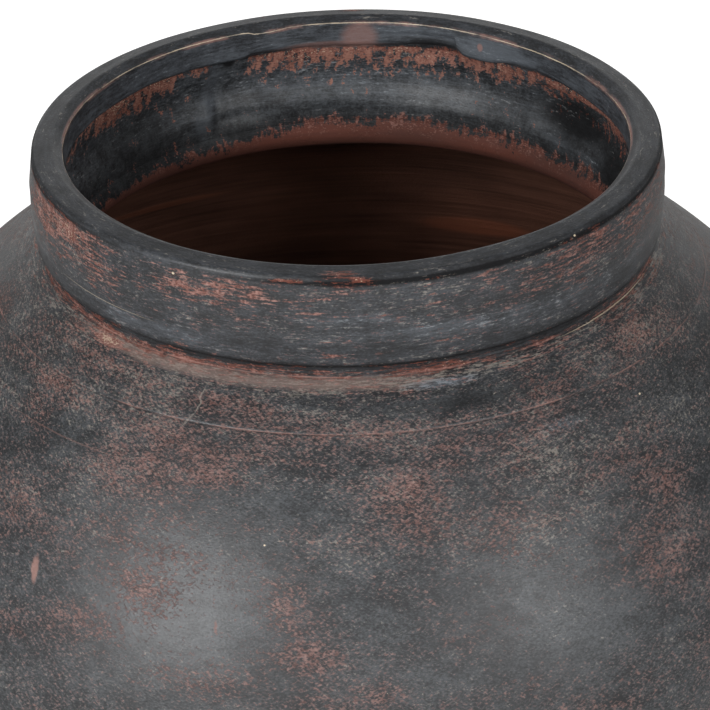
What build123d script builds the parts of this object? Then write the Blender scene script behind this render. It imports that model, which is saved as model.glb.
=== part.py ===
from build123d import *
import os
from math import atan, cos, pi, sin, sqrt, tan

# A large hand-built terracotta water jar, in millimetres, standing on z = 0 about the Z axis.
# It is made of clay sections, each seated on the one below by a tongue in a V groove,
# with a roll of clay pressed into the inside of the seam.

# Heights of the sections, from the floor up
base_thickness = 16
belly_height = 282.5  # floor to the widest ring, where the two halves of the body meet
shoulder_rise = 171  # widest ring to the foot of the collar
collar_height = 31
rim_height = 15.5

# Widths across the outside
foot_diameter = 230
belly_diameter = 470
rim_diameter = 270

# Walls
body_wall = 12
lip_thickness = 14.7

# Lip: flat on top, slightly rounded outside, sloping in to a worn inner edge, folded down inside the collar
lip_edge_round = 2.4
lip_fall = 1.4  # crest down to the outer edge
lip_bevel_width = 4.3  # inner edge out to the crest
lip_bevel_drop = 2.4  # crest down to the inner edge
fold_round = 3  # height of the rounded lower edge of the fold
fold_overhang = 3.2  # the fold stands this far in from the collar's bore

# Collar: upright and slightly swollen, a little narrower at its foot, hollowed inside, over a recessed band
collar_proud = 0.3  # top of the collar stands out from the side of the lip
collar_taper = 1.1  # foot of the collar stands in from its top
collar_swell = 0.5  # swelling of the outside face
collar_hollow = 3  # hollow of the bore, left by the potter's fingers
recess_depth = 2.6
recess_height = 6.5
recess_slope = 1.2  # height of the sloping underside of the collar

# Line scribed round the shoulder
scribe_spacing = 22.2  # out from the foot of the collar
scribe_radius = 1.2

# Seams between the sections
body_seam_depth = 4
neck_seam_depth = 3
rim_seam_depth = 3
base_coil_radius = 8
belly_coil_radius = 7
neck_coil_radius = 8
neck_coil_proud = 2.5  # the roll stands in from the bore
neck_coil_drop = 3  # the roll hangs below the foot of the bore
foot_edge = 3  # worn edge round the bottom

# Places that follow from the sizes
foot_r = foot_diameter / 2
belly_r = belly_diameter / 2
rim_r = rim_diameter / 2
mouth_r = rim_r - lip_thickness
bore_r = mouth_r + fold_overhang
collar_top_r = rim_r + collar_proud
collar_foot_r = collar_top_r - collar_taper
neck_root_r = collar_foot_r - recess_depth
belly_inner_r = belly_r - body_wall
neck_height = belly_height + shoulder_rise
rim_base = neck_height + collar_height
total_height = rim_base + rim_height
crest_r = mouth_r + lip_bevel_width
lip_corner = total_height - lip_fall  # height of the outer edge before it is rounded
lip_slope = atan(lip_fall / (rim_r - crest_r))
lip_edge_reach = lip_edge_round * tan((pi / 2 - lip_slope) / 2)  # corner to the ends of its rounding


def swell_radius(width_change, height_change):
    """Radius of an arc that starts upright and moves in by a width over a height."""
    return (width_change**2 + height_change**2) / (2 * width_change)


def seam(outer, inner, height, depth):
    """Points of a V seam across a wall, from the outside to the inside."""
    return [(outer, height), ((outer + inner) / 2, height - depth), (inner, height)]


# The body is two arcs, both upright at the belly, each with an even wall
lower_swell = swell_radius(belly_r - foot_r, belly_height - base_thickness)
lower_centre_r = belly_r - lower_swell
inner_foot_r = lower_centre_r + sqrt((lower_swell - body_wall) ** 2 - (belly_height - base_thickness) ** 2)
upper_swell = swell_radius(belly_r - neck_root_r, shoulder_rise)
upper_centre_r = belly_r - upper_swell
bore_foot = belly_height + sqrt((upper_swell - body_wall) ** 2 - (bore_r - upper_centre_r) ** 2)
scribe_r = neck_root_r + scribe_spacing
scribe_height = belly_height + sqrt(upper_swell**2 - (scribe_r - upper_centre_r) ** 2)

base_seam = seam(foot_r, inner_foot_r, base_thickness, body_seam_depth)
belly_seam = seam(belly_r, belly_inner_r, belly_height, body_seam_depth)
neck_seam = seam(neck_root_r, bore_r, neck_height, neck_seam_depth)
rim_seam = seam(collar_top_r, bore_r, rim_base, rim_seam_depth)

os.makedirs("parts", exist_ok=True)

# Base: a flat beaten disc with a groove near its edge for the wall
with BuildPart() as base_disc:
    with BuildSketch(Plane.XZ) as base_disc_profile:
        with BuildLine():
            Polyline((0, base_thickness), (0, 0), (foot_r - foot_edge, 0))
            RadiusArc((foot_r - foot_edge, 0), (foot_r, foot_edge), -foot_edge)
            Line((foot_r, foot_edge), base_seam[0])
            Polyline(base_seam)
            Line(base_seam[2], (0, base_thickness))
        make_face()
    revolve(axis=Axis.Z)
base_disc.part.label = "base_disc"
export_step(base_disc.part, "parts/base_disc.step")

# Lower half of the body, from the base up to the widest ring
with BuildPart() as lower_body:
    with BuildSketch(Plane.XZ) as lower_body_profile:
        with BuildLine():
            Polyline(base_seam)
            TangentArc(belly_seam[2], base_seam[2], tangent=(0, -1))
            Polyline(belly_seam)
            TangentArc(belly_seam[0], base_seam[0], tangent=(0, -1))
        make_face()
    revolve(axis=Axis.Z)
lower_body.part.label = "lower_body"
export_step(lower_body.part, "parts/lower_body.step")

# Shoulder: the upper half of the body, closing in to the neck, with a line scribed round it
with BuildPart() as shoulder:
    with BuildSketch(Plane.XZ) as shoulder_profile:
        with BuildLine():
            Polyline(belly_seam)
            TangentArc(belly_seam[0], neck_seam[0], tangent=(0, 1))
            Polyline(neck_seam)
            Line(neck_seam[2], (bore_r, bore_foot))
            TangentArc(belly_seam[2], (bore_r, bore_foot), tangent=(0, 1))
        make_face()
        with Locations((scribe_r, scribe_height)):
            Circle(scribe_radius, mode=Mode.SUBTRACT)
    revolve(axis=Axis.Z)
shoulder.part.label = "shoulder"
export_step(shoulder.part, "parts/shoulder.step")

# Collar: the upright neck, with a recessed band round its foot
with BuildPart() as neck_collar:
    with BuildSketch(Plane.XZ) as neck_collar_profile:
        with BuildLine():
            Polyline(neck_seam)
            recess_top = neck_height + recess_height
            face_middle = (recess_top + rim_base) / 2
            swell_r = (collar_foot_r + collar_top_r) / 2 + collar_swell
            Polyline(
                neck_seam[0],
                (neck_root_r, recess_top - recess_slope),
                (collar_foot_r, recess_top),
            )
            ThreePointArc((collar_foot_r, recess_top), (swell_r, face_middle), rim_seam[0])
            Polyline(rim_seam)
            bore_middle = (neck_height + rim_base) / 2
            ThreePointArc(rim_seam[2], (bore_r + collar_hollow, bore_middle), neck_seam[2])
        make_face()
    revolve(axis=Axis.Z)
neck_collar.part.label = "neck_collar"
export_step(neck_collar.part, "parts/neck_collar.step")

# Rim: the flat-topped lip, folded down over the inside of the collar
with BuildPart() as rim:
    with BuildSketch(Plane.XZ):
        with BuildLine():
            Polyline(rim_seam)
            lip_side = (rim_r, lip_corner - lip_edge_reach)
            lip_top = (rim_r - lip_edge_reach * cos(lip_slope), lip_corner + lip_edge_reach * sin(lip_slope))
            Line(rim_seam[0], lip_side)
            TangentArc(lip_side, lip_top, tangent=(0, 1))
            Polyline(
                lip_top,
                (crest_r, total_height),
                (mouth_r, total_height - lip_bevel_drop),
                (mouth_r, rim_base + fold_round),
            )
            TangentArc((mouth_r, rim_base + fold_round), rim_seam[2], tangent=(0, -1))
        make_face()
    revolve(axis=Axis.Z)
rim.part.label = "rim"
export_step(rim.part, "parts/rim.step")

# Rolls of clay pressed into the inside of the seams, each shaped by the walls it lies against
with BuildPart() as base_seam_coil:
    with BuildSketch(Plane.XZ):
        with Locations(base_seam[2]):
            Circle(base_coil_radius)
        add(base_disc_profile.sketch_local, mode=Mode.SUBTRACT)
        add(lower_body_profile.sketch_local, mode=Mode.SUBTRACT)
    revolve(axis=Axis.Z)
base_seam_coil.part.label = "base_seam_coil"
export_step(base_seam_coil.part, "parts/base_seam_coil.step")

with BuildPart() as belly_seam_coil:
    with BuildSketch(Plane.XZ):
        with Locations(belly_seam[2]):
            Circle(belly_coil_radius)
        add(lower_body_profile.sketch_local, mode=Mode.SUBTRACT)
        add(shoulder_profile.sketch_local, mode=Mode.SUBTRACT)
    revolve(axis=Axis.Z)
belly_seam_coil.part.label = "belly_seam_coil"
export_step(belly_seam_coil.part, "parts/belly_seam_coil.step")

with BuildPart() as neck_seam_coil:
    with BuildSketch(Plane.XZ):
        with Locations((bore_r + neck_coil_radius - neck_coil_proud, bore_foot - neck_coil_drop)):
            Circle(neck_coil_radius)
        add(shoulder_profile.sketch_local, mode=Mode.SUBTRACT)
        add(neck_collar_profile.sketch_local, mode=Mode.SUBTRACT)
    revolve(axis=Axis.Z)
neck_seam_coil.part.label = "neck_seam_coil"
export_step(neck_seam_coil.part, "parts/neck_seam_coil.step")
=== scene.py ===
import math

import bmesh
import bpy
import numpy as np
from mathutils import Matrix, Vector


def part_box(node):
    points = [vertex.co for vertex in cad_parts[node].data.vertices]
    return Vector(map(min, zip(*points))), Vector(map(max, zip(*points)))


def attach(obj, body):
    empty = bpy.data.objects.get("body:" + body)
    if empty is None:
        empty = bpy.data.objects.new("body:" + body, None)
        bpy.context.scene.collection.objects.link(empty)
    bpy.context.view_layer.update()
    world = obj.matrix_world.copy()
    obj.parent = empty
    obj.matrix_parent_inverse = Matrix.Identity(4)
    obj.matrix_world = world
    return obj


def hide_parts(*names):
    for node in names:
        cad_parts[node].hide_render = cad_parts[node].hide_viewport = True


bl_info = {
    "name": "Painted terracotta jar",
    "version": (1, 0, 0),
    "blender": (4, 5, 0),
    "location": "3D View > Sidebar > Jar",
    "description": "Finishes a hand-built terracotta jar: uneven walls, worn dark paint, bare clay inside",
    "category": "Add Mesh",
}

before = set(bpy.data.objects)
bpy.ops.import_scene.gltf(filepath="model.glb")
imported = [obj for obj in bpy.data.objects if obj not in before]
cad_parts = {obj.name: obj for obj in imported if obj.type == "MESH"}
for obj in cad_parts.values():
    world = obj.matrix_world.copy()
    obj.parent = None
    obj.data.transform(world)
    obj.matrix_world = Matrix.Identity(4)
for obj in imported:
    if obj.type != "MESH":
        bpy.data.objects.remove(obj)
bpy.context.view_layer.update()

# One millimetre in metres, and the side of the picture in pixels
MM = 0.001
IMAGE_SIZE = 710


def node_top(name):
    """Height of a node's highest point."""
    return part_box(name)[1][2]


def node_radius(name):
    """Largest distance of a node from the jar's axis, read from its box."""
    return max(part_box(name)[1][0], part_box(name)[1][1])


def linear(code):
    """An sRGB hex colour as linear red, green and blue."""
    channels = [int(code[k:k + 2], 16) / 255 for k in (1, 3, 5)]
    return tuple(c / 12.92 if c <= 0.04045 else ((c + 0.055) / 1.055) ** 2.4 for c in channels)


def number(name, description, default, **kind):
    """A property for a number, with the unit or subtype that fits."""
    return bpy.props.FloatProperty(name=name, description=description, default=default, **kind)


def length(name, description, default):
    """A property for a size in metres."""
    return number(name, description, default, unit="LENGTH", precision=4)


def colour(name, description, code):
    """A property for a colour, given as sRGB hex."""
    return bpy.props.FloatVectorProperty(
        name=name, description=description, default=linear(code), subtype="COLOR", size=3, min=0, max=1
    )


class JarSizes(bpy.types.PropertyGroup):
    """Sizes of the jar's sections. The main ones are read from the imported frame."""

    height: length("Height", "Floor to the crest of the lip", node_top("rim"))
    rim_base: length("Lip joint", "Floor to the joint between collar and lip", node_top("neck_collar"))
    neck_height: length("Neck joint", "Floor to the joint between shoulder and collar", node_top("shoulder"))
    belly_height: length("Belly height", "Floor to the widest ring", node_top("lower_body"))
    base_thickness: length("Base thickness", "Thickness of the base disc", node_top("base_disc"))
    belly_radius: length("Belly radius", "Radius of the widest ring", node_radius("lower_body"))
    foot_radius: length("Foot radius", "Radius of the base disc", node_radius("base_disc"))
    collar_radius: length("Collar radius", "Outside radius where collar and lip meet", node_radius("rim"))
    wall: length(
        "Body wall", "Thickness of the body", node_radius("lower_body") - node_radius("belly_seam_coil")
    )
    collar_proud: length("Collar proud", "How far the collar stands out from the side of the lip", 0.3 * MM)
    lip_thickness: length("Lip thickness", "Side of the lip to its inner edge", 14.7 * MM)
    lip_edge_round: length("Lip edge", "Radius of the outer edge of the lip", 2.4 * MM)
    lip_lean: length("Lip lean", "How far the side of the lip leans in at its top", 1.6 * MM)
    lip_fall: length("Lip fall", "Crest down to the outer edge of the lip", 0.8 * MM)
    bevel_width: length("Bevel width", "Inner edge of the lip out to its crest", 4.3 * MM)
    bevel_drop: length("Bevel drop", "Crest down to the inner edge of the lip", 2.4 * MM)
    crest_round: length("Crest rounding", "Softening of the crest of the lip", 2.5 * MM)
    inner_round: length("Inner edge rounding", "Softening of the inner edge of the lip", 0.6 * MM)
    fold_round: length("Fold rounding", "Height of the rounded lower edge of the fold", 3 * MM)
    fold_overhang: length("Fold overhang", "How far the fold stands in from the collar's bore", 3.2 * MM)
    collar_taper: length("Collar taper", "How far the collar's foot stands in from its top", 1.1 * MM)
    collar_swell: length("Collar swell", "Swelling of the collar's outside", 0.5 * MM)
    collar_hollow: length("Collar hollow", "Hollow of the collar's bore", 3 * MM)
    recess_depth: length("Recess depth", "Depth of the band under the collar", 2.6 * MM)
    recess_height: length("Recess height", "Height of the band under the collar", 6.5 * MM)
    recess_slope: length("Recess slope", "Height of the collar's sloping underside", 1.2 * MM)
    collar_edge: length("Collar edge", "Rounding of the collar's lower edge", 1.6 * MM)
    recess_ridge: length("Recess ridges", "Depth of the tool lines in the band under the collar", 0.22 * MM)
    scribe_spacing: length("Scribed line", "Foot of the collar out to the scribed line", 22.2 * MM)
    scribe_depth: length("Scribe depth", "Depth of the scribed line", 0.3 * MM)
    scribe_width: length("Scribe width", "Half the width of the scribed line", 0.5 * MM)
    foot_edge: length("Foot edge", "Worn rounding round the bottom", 3 * MM)
    body_seam: length("Body seam", "Depth of the tongue in the body's seams", 4 * MM)
    collar_seam: length("Collar seam", "Depth of the tongue in the collar's seams", 3 * MM)
    base_coil: length("Base roll", "Radius of the roll of clay in the base seam", 8 * MM)
    belly_coil: length("Belly roll", "Radius of the roll of clay in the belly seam", 7 * MM)
    neck_coil: length("Neck roll", "Radius of the roll of clay in the neck seam", 8 * MM)
    neck_coil_proud: length("Neck roll proud", "How far the neck roll stands in from the bore", 2.5 * MM)
    neck_coil_drop: length("Neck roll drop", "How far the neck roll hangs below the foot of the bore", 3 * MM)


class JarHandwork(bpy.types.PropertyGroup):
    """What the potter's hands leave in the clay."""

    lumps: length("Lumps", "Height of the broad unevenness of the walls", 0.9 * MM)
    ridges: length("Throwing ridges", "Height of the fine rings left by turning", 0.16 * MM)
    rim_wobble: length("Rim wobble", "How far the lip rises and falls", 0.9 * MM)
    fold_wave: length("Fold wave", "How far the lower edge of the fold wavers", 1.0 * MM)
    dents: length("Finger dents", "Depth of the deepest finger dent in the collar's bore", 3.2 * MM)
    seed: bpy.props.IntProperty(name="Seed", description="Picks another unevenness", default=7)


class JarFinish(bpy.types.PropertyGroup):
    """Colours of the clay and of what is brushed on it, with the painted shade and painted glints laid among
    them.
    """

    paint: colour("Paint", "Charcoal paint", "#1c1d1f")
    wash: colour("Washed paint", "Charcoal paint brushed thin on the body", "#4a4d50")
    slate: colour("Slate", "Charcoal paint brushed thin on the lip and collar", "#3e4146")
    blue: colour("Blue-grey", "Blue-grey wash in the brush strokes", "#696f76")
    # Black paint, also laid on as painted shade in hollows, under edges and in finger dents
    black_paint_and_shade: colour("Black", "Thick paint in the hollows", "#131314")
    dust: colour("Dust", "Pale lime dust caught in the brush strokes", "#928b82")
    clay: colour("Clay", "Fired clay where the paint is sanded off", "#967067")
    inner_paint_clay: colour("Clay in the neck", "Fired clay showing inside the neck", "#916557")
    pale_blue: colour("Pale blue-grey", "Dust over the blue-grey wash", "#8b9298")
    # Bare clay takes this darker red where the dark level paints shade, so it is partly painted shade
    red_clay: colour("Red clay", "Darker fired clay in the hollows", "#65392e")
    cream: colour("Cream", "Pale grit and worn edges", "#d8c6ab")
    deep_clay: colour("Dark clay", "Bare clay below the paint's edge", "#4c3029")
    inner_clay: colour("Inner clay", "Bare clay of the jar's inside", "#875c4b")
    # A lighter warm clay laid on inside as painted light: glints and pools of light
    painted_glint_clay: colour("Warm clay", "Lighter patch of clay low on the jar's inside", "#b4694b")
    inner_shade: colour("Inner clay, dark", "Streaks in the clay of the jar's inside", "#54382d")


class JarStage(bpy.types.PropertyGroup):
    """The camera and the light."""

    distance: length("Distance", "Camera to the middle of the mouth", 1.298)
    elevation: number("Elevation", "Camera above the mouth", math.radians(24.93), subtype="ANGLE")
    roll: number("Roll", "Turn of the picture", math.radians(-1.5), subtype="ANGLE")
    focal_pixels: number("Focal length", "In pixels of the picture", 3052)
    mouth_x: number("Mouth across", "Middle of the mouth, in pixels", 346.0)
    mouth_y: number("Mouth down", "Middle of the mouth, in pixels", 127.6)
    mouth_lift: length("Mouth lift", "Middle of the mouth above the crest of the lip", 0.65 * MM)
    floor: colour("Floor", "Pale floor", "#e9e8e6")
    room: number("Room light", "Light from all round", 0.3)
    softbox: number("Softboxes", "Power of each front light", 17.5, unit="POWER")
    backdrop: number("Backdrop", "Power of the panel behind", 8, unit="POWER")


def add(tree, kind, *feeds, out=0, named=None, **settings):
    """Adds a node, applies its settings, feeds its sockets in order or by name, and returns one output."""
    made = tree.nodes.new(kind)
    for name, value in settings.items():
        setattr(made, name, value)
    sockets = [socket for socket in made.inputs if socket.enabled]
    pairs = list(zip(sockets, feeds)) + [(made.inputs[name], feed) for name, feed in (named or {}).items()]
    for socket, feed in pairs:
        if isinstance(feed, bpy.types.NodeSocket):
            tree.links.new(feed, socket)
        elif feed is not None:
            socket.default_value = feed
    results = made.outputs if isinstance(out, str) else [socket for socket in made.outputs if socket.enabled]
    return results[out]


def straight(start, end, step):
    """Points from start to end, no further apart than step."""
    count = max(1, math.ceil(math.dist(start, end) / step))
    return [tuple(a + (b - a) * k / count for a, b in zip(start, end)) for k in range(count + 1)]


def bowed(start, end, bow, step):
    """A straight run that swells outwards by bow in its middle and leaves its ends smoothly."""
    run = straight(start, end, step)
    return [(r + bow * math.sin(math.pi * k / (len(run) - 1)) ** 2, z) for k, (r, z) in enumerate(run)]


def arc(centre, start, end, step):
    """Points along the shorter arc about centre from start to end."""
    radius = math.dist(centre, start)
    first = math.atan2(start[1] - centre[1], start[0] - centre[0])
    turn = math.atan2(end[1] - centre[1], end[0] - centre[0]) - first
    turn = (turn + math.pi) % (2 * math.pi) - math.pi
    count = max(2, math.ceil(abs(turn) * radius / step))
    angles = [first + turn * k / count for k in range(count + 1)]
    return [(centre[0] + radius * math.cos(a), centre[1] + radius * math.sin(a)) for a in angles]


def rounded(before, corner, after, radius, step):
    """Points along the arc that rounds off a corner between two straight runs."""
    back = (Vector(before) - Vector(corner)).normalized()
    ahead = (Vector(after) - Vector(corner)).normalized()
    half = back.angle(ahead) / 2
    reach = radius / math.tan(half)
    centre = Vector(corner) + (back + ahead).normalized() * radius / math.sin(half)
    start, end = Vector(corner) + back * reach, Vector(corner) + ahead * reach
    return arc(tuple(centre), tuple(start), tuple(end), step)


def swell_radius(width_change, height_change):
    """Radius of an arc that starts upright and moves in by a width over a height."""
    return (width_change ** 2 + height_change ** 2) / (2 * width_change)


def chain(*runs):
    """Runs joined end to end, with each shared point kept once."""
    joined = list(runs[0])
    for run in runs[1:]:
        joined += run[1:]
    return joined


def circles_meet(centre_a, radius_a, centre_b, radius_b):
    """The two points where two circles cross."""
    gap = math.dist(centre_a, centre_b)
    along = (gap ** 2 + radius_a ** 2 - radius_b ** 2) / (2 * gap)
    side = math.sqrt(radius_a ** 2 - along ** 2)
    ux, uy = (centre_b[0] - centre_a[0]) / gap, (centre_b[1] - centre_a[1]) / gap
    foot = (centre_a[0] + along * ux, centre_a[1] + along * uy)
    return (foot[0] - side * uy, foot[1] + side * ux), (foot[0] + side * uy, foot[1] - side * ux)


class Outline:
    """The jar's section: outside and inside runs of each clay section, from the crest of the lip down.

    The last number of each run is the longest step between its points.
    """

    def __init__(self, sizes):
        rim_r = sizes.collar_radius - sizes.collar_proud
        self.mouth_r = rim_r - sizes.lip_thickness
        self.bore_r = self.mouth_r + sizes.fold_overhang
        collar_foot_r = sizes.collar_radius - sizes.collar_taper
        self.root_r = collar_foot_r - sizes.recess_depth
        recess_top = sizes.neck_height + sizes.recess_height
        crest = (self.mouth_r + sizes.bevel_width, sizes.height)
        drop = sizes.belly_height - sizes.base_thickness
        self.lower_swell = swell_radius(sizes.belly_radius - sizes.foot_radius, drop)
        climb = sizes.neck_height - sizes.belly_height
        self.upper_swell = swell_radius(sizes.belly_radius - self.root_r, climb)
        self.lower_centre = (sizes.belly_radius - self.lower_swell, sizes.belly_height)
        self.upper_centre = (sizes.belly_radius - self.upper_swell, sizes.belly_height)
        lower_inner = self.lower_swell - sizes.wall
        upper_inner = self.upper_swell - sizes.wall
        self.inner_foot_r = self.lower_centre[0] + math.sqrt(lower_inner ** 2 - drop ** 2)
        reach = self.bore_r - self.upper_centre[0]
        self.bore_foot = sizes.belly_height + math.sqrt(upper_inner ** 2 - reach ** 2)

        fold_fall = swell_radius(sizes.fold_overhang, sizes.fold_round)
        inner_edge = (self.mouth_r, sizes.height - sizes.bevel_drop)
        outer_edge = (rim_r - sizes.lip_lean, sizes.height - sizes.lip_fall)
        fold_top = (self.mouth_r, sizes.rim_base + sizes.fold_round)
        lip_foot = (sizes.collar_radius, sizes.rim_base)
        crown = rounded(inner_edge, crest, outer_edge, sizes.crest_round, 0.15 * MM)
        summit = len(crown) // 2
        lip_edge = rounded(crest, outer_edge, lip_foot, sizes.lip_edge_round, 0.4 * MM)
        lip_inside = rounded(crest, inner_edge, fold_top, sizes.inner_round, 0.2 * MM)
        recess = (self.root_r, recess_top - sizes.recess_slope)
        collar_foot = (collar_foot_r, recess_top)
        collar_edge = rounded(lip_foot, collar_foot, recess, sizes.collar_edge, 0.4 * MM)
        bore_top = (self.bore_r, sizes.rim_base)
        bore_joint = (self.bore_r, sizes.neck_height)
        inner_belly = (sizes.belly_radius - sizes.wall, sizes.belly_height)
        inner_foot = (self.inner_foot_r, sizes.base_thickness)
        foot = (sizes.foot_radius, sizes.base_thickness)
        root = (self.root_r, sizes.neck_height)
        belly = (sizes.belly_radius, sizes.belly_height)

        self.outer = {
            "rim": chain(
                crown[summit:],
                straight(crown[-1], lip_edge[0], 1 * MM),
                lip_edge,
                straight(lip_edge[-1], lip_foot, 1 * MM),
            ),
            "neck_collar": chain(
                bowed(lip_foot, collar_edge[0], sizes.collar_swell, 1 * MM),
                collar_edge,
                straight(collar_edge[-1], recess, 0.6 * MM),
                self.tool_lines(recess, root, sizes.recess_ridge),
            ),
            "shoulder": self.shoulder_face(sizes, root, belly),
            "lower_body": arc(self.lower_centre, belly, foot, 3 * MM),
            "base_disc": chain(
                straight(foot, (sizes.foot_radius, sizes.foot_edge), 3 * MM),
                arc(
                    (sizes.foot_radius - sizes.foot_edge, sizes.foot_edge),
                    (sizes.foot_radius, sizes.foot_edge),
                    (sizes.foot_radius - sizes.foot_edge, 0),
                    0.8 * MM,
                ),
                straight((sizes.foot_radius - sizes.foot_edge, 0), (0, 0), 6 * MM),
            ),
        }
        self.inner = {
            "rim": chain(
                crown[summit::-1],
                straight(crown[0], lip_inside[0], 0.8 * MM),
                lip_inside,
                straight(lip_inside[-1], fold_top, 0.9 * MM),
                arc((self.mouth_r + fold_fall, fold_top[1]), fold_top, bore_top, 0.6 * MM),
            ),
            "neck_collar": bowed(bore_top, bore_joint, sizes.collar_hollow, 0.9 * MM),
            "shoulder": chain(
                straight(bore_joint, (self.bore_r, self.bore_foot), 2 * MM),
                arc(self.upper_centre, (self.bore_r, self.bore_foot), inner_belly, 4 * MM),
            ),
            "lower_body": arc(self.lower_centre, inner_belly, inner_foot, 5 * MM),
            "base_disc": straight(inner_foot, (0, sizes.base_thickness), 6 * MM),
        }
        self.measure(self.outer, 1)
        self.measure(self.inner, -1)
        self.bore_end = self.inner["shoulder"][0][2] - (sizes.neck_height - self.bore_foot)
        self.edge_mark = -math.hypot(sizes.bevel_width, sizes.bevel_drop)
        self.root_mark = self.outer["shoulder"][0][2]
        self.scribe_mark = self.root_mark + self.scribe_reach

    @staticmethod
    def tool_lines(top, bottom, depth):
        """A short upright face with three fine tool lines."""
        run = straight(top, bottom, 0.3 * MM)
        turn = 2 * math.pi * 3 / (len(run) - 1)
        return [(r - depth * (1 - math.cos(turn * k)) / 2, z) for k, (r, z) in enumerate(run)]

    def shoulder_face(self, sizes, root, belly):
        """The shoulder's outside, with the scribed line pressed in and wider steps away from it."""
        middle = self.upper_centre
        start = math.atan2(root[1] - middle[1], root[0] - middle[0])
        line_angle = math.acos((self.root_r + sizes.scribe_spacing - middle[0]) / self.upper_swell)
        line = self.upper_swell * (start - line_angle)
        self.scribe_reach = line
        run = []
        travelled = 0
        while travelled < self.upper_swell * start - 1 * MM:
            angle = start - travelled / self.upper_swell
            press = sizes.scribe_depth * math.exp(-(((travelled - line) / sizes.scribe_width) ** 2))
            reach = self.upper_swell - press
            run.append((middle[0] + reach * math.cos(angle), middle[1] + reach * math.sin(angle)))
            near = abs(travelled - line) < 4 * MM
            travelled += 0.25 * MM if near else 1 * MM if travelled < line else 3 * MM
        return run + [belly]

    @staticmethod
    def measure(runs, sign):
        """Adds to each point its distance along the jar's outline from the crest, negative inside."""
        travelled = 0
        for name, run in runs.items():
            measured = []
            before = run[0]
            for point in run:
                travelled += math.dist(before, point)
                measured.append((point[0], point[1], sign * travelled))
                before = point
            runs[name] = measured


def seam_middle(outside, inside, depth):
    """Lowest point of a V seam between two points of a wall."""
    return ((outside[0] + inside[0]) / 2, outside[1] - depth, 0)


# What the section carries round the jar for the handwork
WEIGHTS = ("outline_mm", "lip", "fold", "bore", "edge", "slope")

# Outline distances in millimetres between which the shoulder's settling begins, and between which it ends
SLOPE_STARTS = (58, 90)
SLOPE_ENDS = (130, 230)

# Steps round the jar for each piece, more of them where the photograph comes close
STEPS_ROUND = {
    "rim": 1024,
    "neck_collar": 960,
    "neck_seam_coil": 768,
    "shoulder": 480,
    "lower_body": 512,
    "belly_seam_coil": 512,
    "base_seam_coil": 384,
    "base_disc": 256,
}

# Edges sharper than this stay sharp
CREASE = math.radians(38)

# An outline distance that no piece reaches, for pieces with no bare clay
NOWHERE = -1e6

# Finger dents inside: angles where a dent starts, is full, fades and ends, its top and bottom, and its share
DENTS = (
    (-166, -158, -152, -149, -19, -58, 0.75),
    (109, 118, 131, 138.5, -24, -53, 1.0),
    (154.6, 155.6, 163, 174, -8, -30, 0.55),
)

# Millimetres over which a dent deepens below its top, and fades out above its bottom
DENT_SHOULDER = 3
DENT_FOOT = 9

# Rise of the lower edge of the fold by angle from the front, in millimetres
FOLD_EDGE = (
    (-180, 1.2), (-167, 1.2), (-160, 0.8), (-156, -0.8), (-150, 0.0), (-135, 0.0), (-120, -0.8),
    (-60, -1.0), (60, -1.0), (115, -0.8), (125, 0.2), (140, 1.4), (149, -1.6), (153.5, -0.4),
    (155.5, 2.2), (162, 2.2), (169, 1.6), (180, 1.2),
)

# Rise of the shoulder by angle from the front, in millimetres
SHOULDER_RISE = (
    (-180, -3.5), (-150, -2.5), (-122, -1.6), (-95, -0.5), (-75, 0.0), (60, 0.0), (95, -3.5),
    (122, -5.4), (150, -5.0), (180, -3.5),
)

# Rise of the inner edge of the lip by angle from the front, in millimetres
INNER_EDGE = (
    (-180, 0.0), (-170, -0.1), (-161, -1.5), (-158, -0.1), (-105, -0.4), (0, 0.0), (103, -1.2), (135, -1.2),
    (145, -0.8), (167, 0.1), (180, 0.0),
)


def turning_curve(tree, angle, places):
    """A height in metres that follows given places round the jar, within 10 mm up and down."""
    span = 20
    turn = add(tree, "ShaderNodeMapRange", angle, -180.0, 180.0, 0.0, 1.0)
    bent = add(tree, "ShaderNodeFloatCurve", 1.0, turn)
    mapping = bent.node.mapping
    points = mapping.curves[0].points
    for spot, (degrees, rise) in enumerate(places):
        where = ((degrees + 180) / 360, rise / span + 0.5)
        if 0 < spot < len(places) - 1:
            points.new(*where)
        else:
            points[0 if spot == 0 else len(points) - 1].location = where
    mapping.update()
    return add(tree, "ShaderNodeMath", bent, span * MM, -span / 2 * MM, operation="MULTIPLY_ADD")


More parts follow.
